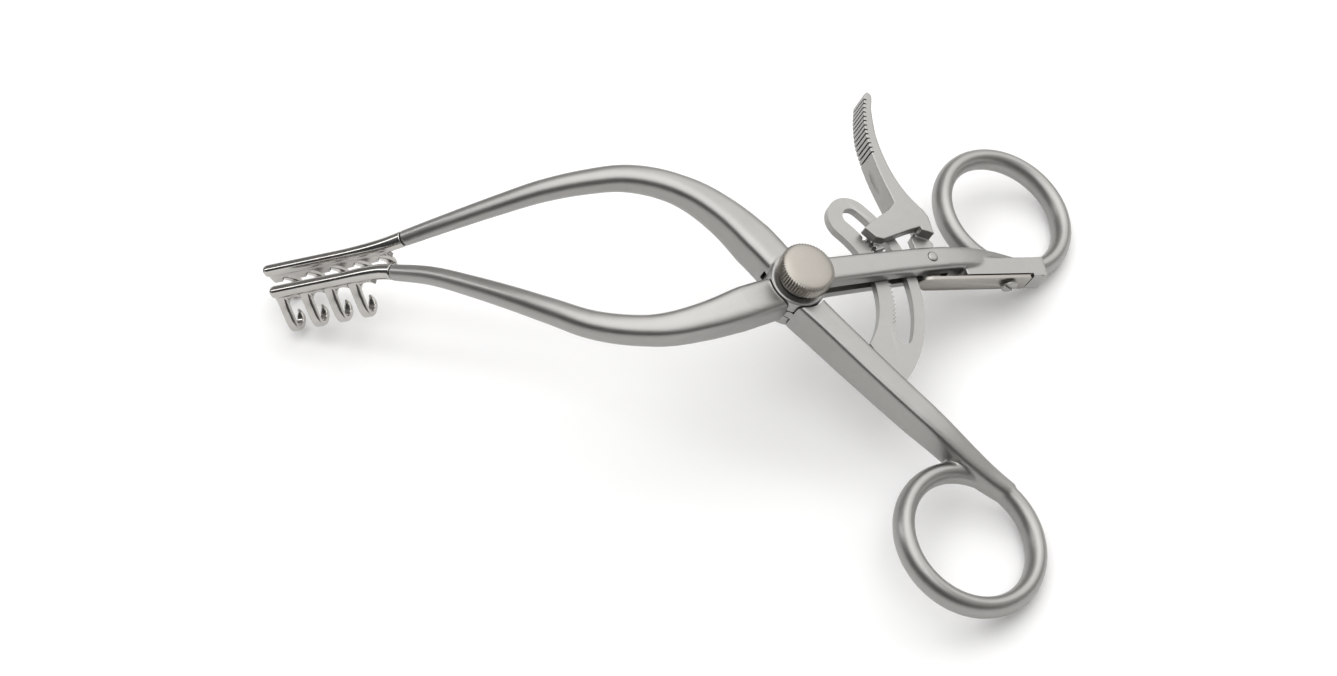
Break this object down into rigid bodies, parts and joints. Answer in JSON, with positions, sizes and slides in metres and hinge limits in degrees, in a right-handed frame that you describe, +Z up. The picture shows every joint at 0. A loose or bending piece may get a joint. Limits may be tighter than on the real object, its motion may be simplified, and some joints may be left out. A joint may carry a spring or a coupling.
{
  "type": "self-retaining retractor",
  "caption": "Hand-held ratcheted spreader: two bowed arms with finger rings and down-turned hooked rake blades, joined by a thumb screw, with a toothed arc and release lever.",
  "frame": {"origin": "middle of the footprint, on the surface the instrument stands on by its finger rings and prong ends", "axes": "+Z up from that surface; +X from the rake blades towards the finger rings; +Y towards the slotted upper arm that carries the release lever"},
  "size_m": [0.2052, 0.1372, 0.0461],
  "materials": {
    "satin_steel": "glass-beaded satin",
    "polished_steel": "mirror polished",
    "knob_steel": "fine satin, slightly warm",
    "spring_steel": "smooth satin"
  },
  "bodies": {
    "lower": {"lower_arm": "satin_steel", "lower_rake": "polished_steel", "ratchet_plate": "satin_steel", "plate_rivet_1": "satin_steel", "plate_rivet_2": "satin_steel"},
    "upper": {"upper_arm": "satin_steel", "upper_rake": "polished_steel", "lever_pin": "satin_steel", "spring_screw": "satin_steel", "thrust_washer": "satin_steel"},
    "lever": {"release_lever": "satin_steel"},
    "spring": {"leaf_spring": "spring_steel"},
    "knob": {"thumb_screw": "knob_steel"}
  },
  "joints": [
    {"name": "arm_spread", "type": "hinge", "parent": "lower", "child": "upper", "pos_m": [0.03484, 0, 0.03337], "axis": [-0.3822, 0, -0.9241], "range_deg": [0, 30]},
    {"name": "lever_release", "type": "hinge", "parent": "upper", "child": "lever", "pos_m": [0.06589, 0.0216, 0.02053], "axis": [-0.3822, 0, -0.9241], "range_deg": [-3, 4], "stiffness_Nm_per_rad": 0.2},
    {"name": "spring_flex", "type": "hinge", "parent": "upper", "child": "spring", "pos_m": [0.08718, 0.02561, 0.01171], "axis": [-0.3822, 0, -0.9241], "range_deg": [-0.6, 0.6]},
    {"name": "thumb_turn", "type": "hinge", "parent": "upper", "child": "knob", "pos_m": [0.03484, 0, 0.03337], "axis": [0.3822, 0, 0.9241], "range_deg": [0, 360]}
  ],
  "couplings": [
    {"joint": "spring_flex", "follows": "lever_release", "ratio": -0.125}
  ]
}
